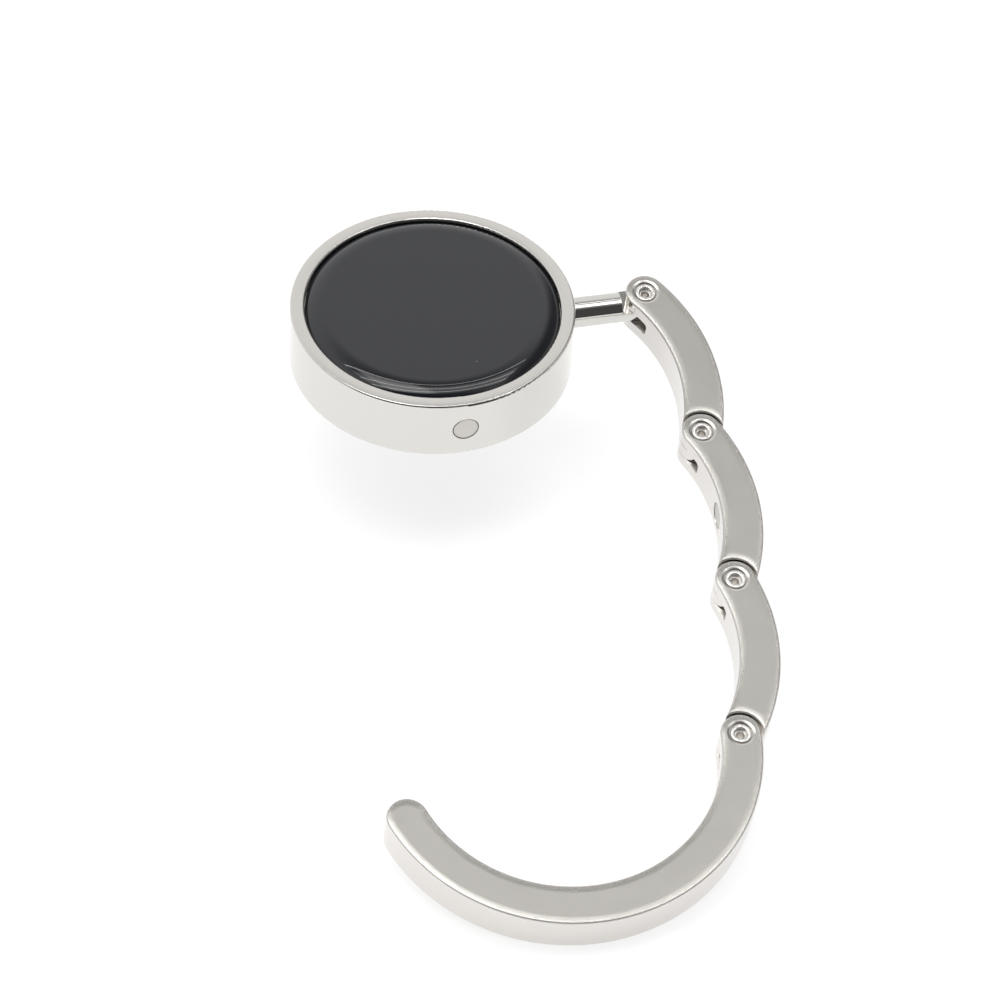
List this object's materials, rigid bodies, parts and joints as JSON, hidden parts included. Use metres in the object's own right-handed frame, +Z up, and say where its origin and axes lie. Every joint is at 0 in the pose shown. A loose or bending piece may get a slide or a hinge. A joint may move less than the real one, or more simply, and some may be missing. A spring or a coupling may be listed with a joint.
{
  "type": "folding purse hook",
  "caption": "Round table-top head with a rubber pad and a riveted chain of bowed links ending in an open hook, which wraps round the head and is held shut by magnets.",
  "frame": {"origin": "centre of the rubber pad's underside, on the head's axis", "axes": "+Z up through the head, -Z out of the pad's face; +X along the stem, away from the head; the chain and the hook lie towards -Y"},
  "size_m": [0.0678, 0.1288, 0.033],
  "materials": {
    "polished_nickel": "mirror polished nickel plate",
    "satin_nickel": "satin nickel plate on cast zinc",
    "rivet_nickel": "bright nickel plate, lightly worn",
    "black_inlay": "gloss",
    "clear_dome": "clear cast resin, glossy",
    "black_rubber": "matt",
    "magnet_nickel": "nickel plate, slightly dull",
    "steel": "plain, inside the head",
    "brass": "plain, inside the head"
  },
  "bodies": {
    "head": {"head_housing": "polished_nickel", "inlay_plate": "black_inlay", "epoxy_dome": "clear_dome", "base_cover": "steel", "cover_screws": "steel", "grip_pad": "black_rubber", "rim_magnet": "magnet_nickel", "friction_ring": "black_rubber"},
    "slider": {"stem_slider": "brass"},
    "stem": {"stem": "polished_nickel", "stem_washer": "steel"},
    "link_1": {"link_1": "satin_nickel", "hinge_pin_1": "rivet_nickel"},
    "link_2": {"link_2": "satin_nickel", "hinge_pin_2": "rivet_nickel", "link_magnet": "magnet_nickel"},
    "link_3": {"link_3": "satin_nickel", "hinge_pin_3": "rivet_nickel"},
    "hook": {"hook": "satin_nickel", "hinge_pin_4": "rivet_nickel"}
  },
  "joints": [
    {"name": "stem_slide", "type": "slide", "parent": "head", "child": "slider", "axis": [1, 0, 0], "range_m": [-0.0074, 0]},
    {"name": "stem_swivel", "type": "hinge", "parent": "slider", "child": "stem", "pos_m": [0, 0, 0.0056], "axis": [1, 0, 0], "range_deg": [-12.6, 347.4]},
    {"name": "hinge_1", "type": "hinge", "parent": "stem", "child": "link_1", "pos_m": [0.0344, 0, 0.0056], "axis": [0, -0.2181, 0.9759], "range_deg": [-36.8, 150]},
    {"name": "hinge_2", "type": "hinge", "parent": "link_1", "child": "link_2", "pos_m": [0.0376, -0.02616, -0.00025], "axis": [0, -0.2181, 0.9759], "range_deg": [-51.4, 2]},
    {"name": "hinge_3", "type": "hinge", "parent": "link_2", "child": "link_3", "pos_m": [0.03675, -0.0525, -0.00614], "axis": [0, -0.2181, 0.9759], "range_deg": [-50.6, 2]},
    {"name": "hinge_4", "type": "hinge", "parent": "link_3", "child": "hook", "pos_m": [0.0315, -0.07835, -0.01191], "axis": [0, -0.2181, 0.9759], "range_deg": [-36.4, 14]}
  ]
}
